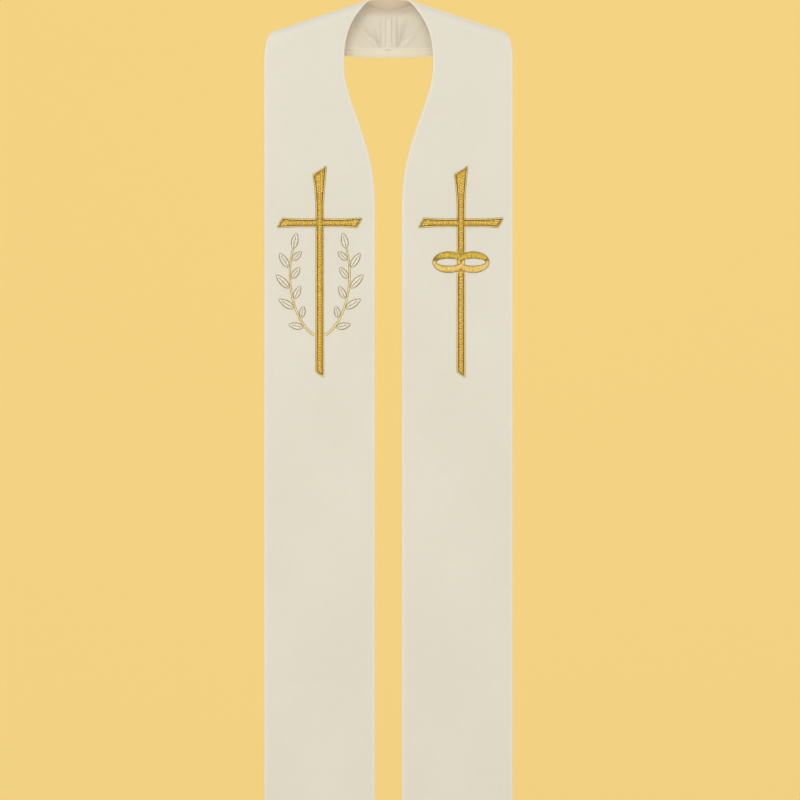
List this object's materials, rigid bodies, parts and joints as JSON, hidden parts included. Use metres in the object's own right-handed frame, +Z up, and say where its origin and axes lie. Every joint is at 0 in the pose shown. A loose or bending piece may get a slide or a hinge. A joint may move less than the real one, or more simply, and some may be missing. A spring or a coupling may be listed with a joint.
{
  "type": "clerical stole",
  "caption": "Shaped ivory clerical stole, lined, hanging in two straight fronts from its shoulder folds, with gold embroidered crosses, linked rings and leaf sprays.",
  "frame": {"origin": "midway between the neck ends of the two shoulder folds, level with them", "axes": "+X towards the picture's right (the wearer's left), +Y from the fronts to the back, +Z up; the embroidered fronts face -Y"},
  "size_m": [0.317, 0.0347, 1.3221],
  "materials": {
    "ivory_cloth": "matt wool-look weave",
    "ivory_lining": "plain lining with a low sheen",
    "gold_thread": "metallic embroidery thread",
    "cream_thread": "rayon embroidery thread"
  },
  "bodies": {
    "root": {"shell_left": "ivory_cloth", "shell_right": "ivory_cloth", "lining_left": "ivory_lining", "lining_right": "ivory_lining", "cross_left": "gold_thread", "cross_right": "gold_thread", "cross_right_foot": "gold_thread", "ring_left": "gold_thread", "ring_right": "gold_thread", "spray_outer_stem": "gold_thread", "spray_inner_stem": "gold_thread", "spray_outer_leaf_1": "cream_thread", "spray_outer_leaf_2": "cream_thread", "spray_outer_leaf_3": "cream_thread", "spray_outer_leaf_4": "cream_thread", "spray_outer_leaf_5": "cream_thread", "spray_outer_leaf_6": "cream_thread", "spray_outer_leaf_7": "cream_thread", "spray_outer_leaf_8": "cream_thread", "spray_outer_leaf_9": "cream_thread", "spray_inner_leaf_1": "cream_thread", "spray_inner_leaf_2": "cream_thread", "spray_inner_leaf_3": "cream_thread", "spray_inner_leaf_4": "cream_thread", "spray_inner_leaf_5": "cream_thread", "spray_inner_leaf_6": "cream_thread", "spray_inner_leaf_7": "cream_thread", "spray_inner_leaf_8": "cream_thread", "spray_inner_leaf_9": "cream_thread"}
  },
  "joints": []
}
